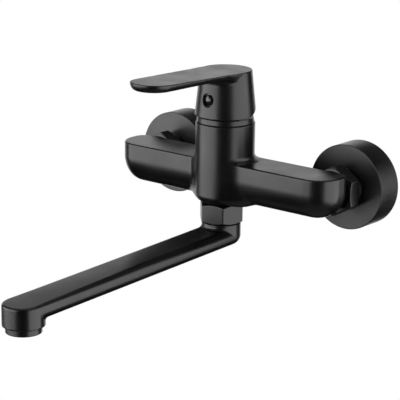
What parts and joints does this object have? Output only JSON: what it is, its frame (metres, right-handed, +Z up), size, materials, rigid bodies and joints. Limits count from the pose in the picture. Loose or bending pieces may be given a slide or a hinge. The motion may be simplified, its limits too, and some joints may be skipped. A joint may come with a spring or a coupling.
{
  "type": "wall mounted bath faucet",
  "caption": "Matte black wall mixer with a horizontal body between round escutcheons, a flat lever on top and a long flat swivel spout underneath.",
  "frame": {"origin": "on the face of the wall, midway between the axes of the two wall threads", "axes": "+Z up, +Y into the wall, so the spout points along -Y; +X to the right seen from in front"},
  "size_m": [0.208, 0.2823, 0.137],
  "materials": {
    "black_paint": "matte",
    "brass": "turned",
    "rubber": "matte",
    "cartridge_plastic": "matte",
    "ceramic": "lapped ceramic",
    "steel": "satin",
    "plug_plastic": "gloss",
    "insert_plastic": "matte"
  },
  "bodies": {
    "body": {"eccentric_union_left": "brass", "escutcheon_left": "black_paint", "union_nut_left": "black_paint", "inlet_tail_left": "brass", "filter_washer_left": "rubber", "eccentric_union_right": "brass", "escutcheon_right": "black_paint", "union_nut_right": "black_paint", "inlet_tail_right": "brass", "filter_washer_right": "rubber", "mixer_body": "black_paint", "port_seal_hot": "rubber", "port_seal_cold": "rubber", "port_seal_outlet": "rubber", "cartridge_base": "cartridge_plastic", "fixed_ceramic_disc": "ceramic", "cartridge_housing": "cartridge_plastic", "retaining_ring": "brass", "collar_o_ring": "rubber", "trim_collar": "black_paint", "outlet_nipple": "brass", "spout_nut": "black_paint"},
    "rotor": {"cartridge_rotor": "cartridge_plastic", "pivot_pin": "steel"},
    "lever": {"lever_handle": "black_paint", "cartridge_stem": "brass", "set_screw": "steel", "index_plug": "plug_plastic"},
    "discs": {"moving_ceramic_disc": "ceramic", "disc_carrier": "cartridge_plastic"},
    "spout": {"swivel_spout": "black_paint", "spout_spigot": "brass", "spigot_o_ring_upper": "rubber", "spigot_o_ring_lower": "rubber", "slip_ring": "insert_plastic", "aerator_shell": "black_paint", "aerator_insert": "insert_plastic", "aerator_washer": "rubber"}
  },
  "joints": [
    {"name": "temperature_swivel", "type": "hinge", "parent": "body", "child": "rotor", "pos_m": [0, -0.0554, 0.052], "axis": [0, 0, 1], "range_deg": [-45, 45]},
    {"name": "flow_lift", "type": "hinge", "parent": "rotor", "child": "lever", "pos_m": [0, -0.0554, 0.052], "axis": [-1, 0, 0], "range_deg": [0, 18]},
    {"name": "disc_slide", "type": "slide", "parent": "rotor", "child": "discs", "axis": [0, -1, 0], "range_m": [0, 0.00456]},
    {"name": "spout_swivel", "type": "hinge", "parent": "body", "child": "spout", "pos_m": [0, -0.05825, -0.028], "axis": [0, 0, 1], "range_deg": [-90, 90]}
  ],
  "couplings": [
    {"joint": "disc_slide", "follows": "flow_lift", "m_per_rad": 0.0145}
  ]
}
